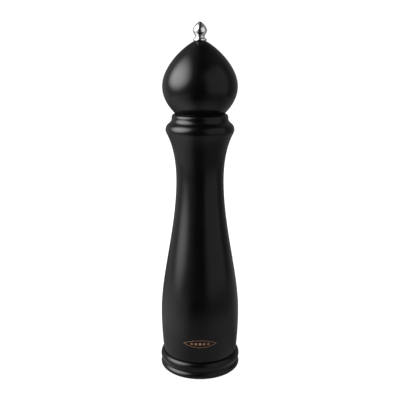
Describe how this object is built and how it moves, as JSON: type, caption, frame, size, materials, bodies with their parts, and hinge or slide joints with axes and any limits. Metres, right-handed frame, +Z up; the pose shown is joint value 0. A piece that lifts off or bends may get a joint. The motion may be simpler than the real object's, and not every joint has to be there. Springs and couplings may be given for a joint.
{
  "type": "pepper mill",
  "caption": "Tall turned-wood pepper mill: black lacquered body and onion-shaped head, chromed acorn knob, steel burrs under the base.",
  "frame": {"origin": "centre of the underside of the foot, on the surface the mill stands on", "axes": "+Z up along the turning axis, -Y is the front with the printed mark, +X is the right seen from the front"},
  "size_m": [0.0712, 0.0712, 0.305],
  "materials": {
    "black_lacquer": "satin black lacquer over turned wood",
    "bare_beech": "bare turned beech",
    "copper_print": "thin coppery print",
    "black_nylon": "moulded black nylon",
    "chrome": "polished chrome plate",
    "zinc_steel": "zinc-plated pressed steel",
    "burr_steel": "dark hardened steel",
    "bar_steel": "drawn steel bar",
    "brass": "turned brass"
  },
  "bodies": {
    "mill_body": {"body_casing": "black_lacquer", "neck_bush": "black_nylon", "stator_cup": "zinc_steel", "stator_ring": "burr_steel", "mechanism_screws": "zinc_steel", "bridge_bracket": "zinc_steel"},
    "guide": {"guide_bush": "brass", "guide_clip": "bar_steel"},
    "spindle": {"spindle_rod": "bar_steel", "rotor_burr": "burr_steel", "thrust_washer": "zinc_steel", "compression_spring": "bar_steel", "end_washer": "zinc_steel", "lock_washer": "bar_steel", "rotor_nut": "zinc_steel"},
    "head": {"head_dome": "black_lacquer", "drive_plate": "zinc_steel", "drive_plate_screws": "zinc_steel", "top_washer": "zinc_steel"},
    "knob": {"adjusting_knob": "chrome"}
  },
  "joints": [
    {"name": "mill_turn", "type": "hinge", "parent": "mill_body", "child": "guide", "pos_m": [0, 0, 0.0466], "axis": [0, 0, 1], "continuous": true},
    {"name": "spindle_adjust", "type": "slide", "parent": "guide", "child": "spindle", "axis": [0, 0, 1], "range_m": [-0.0008, 0.0008], "deforming": ["compression_spring"]},
    {"name": "head_lift", "type": "slide", "parent": "guide", "child": "head", "axis": [0, 0, 1], "range_m": [0, 0.095]},
    {"name": "knob_turn", "type": "hinge", "parent": "head", "child": "knob", "pos_m": [0, 0, 0.2895], "axis": [0, 0, 1], "range_deg": [-360, 360]}
  ],
  "couplings": [
    {"joint": "knob_turn", "follows": "spindle_adjust", "rad_per_m": -7854}
  ]
}
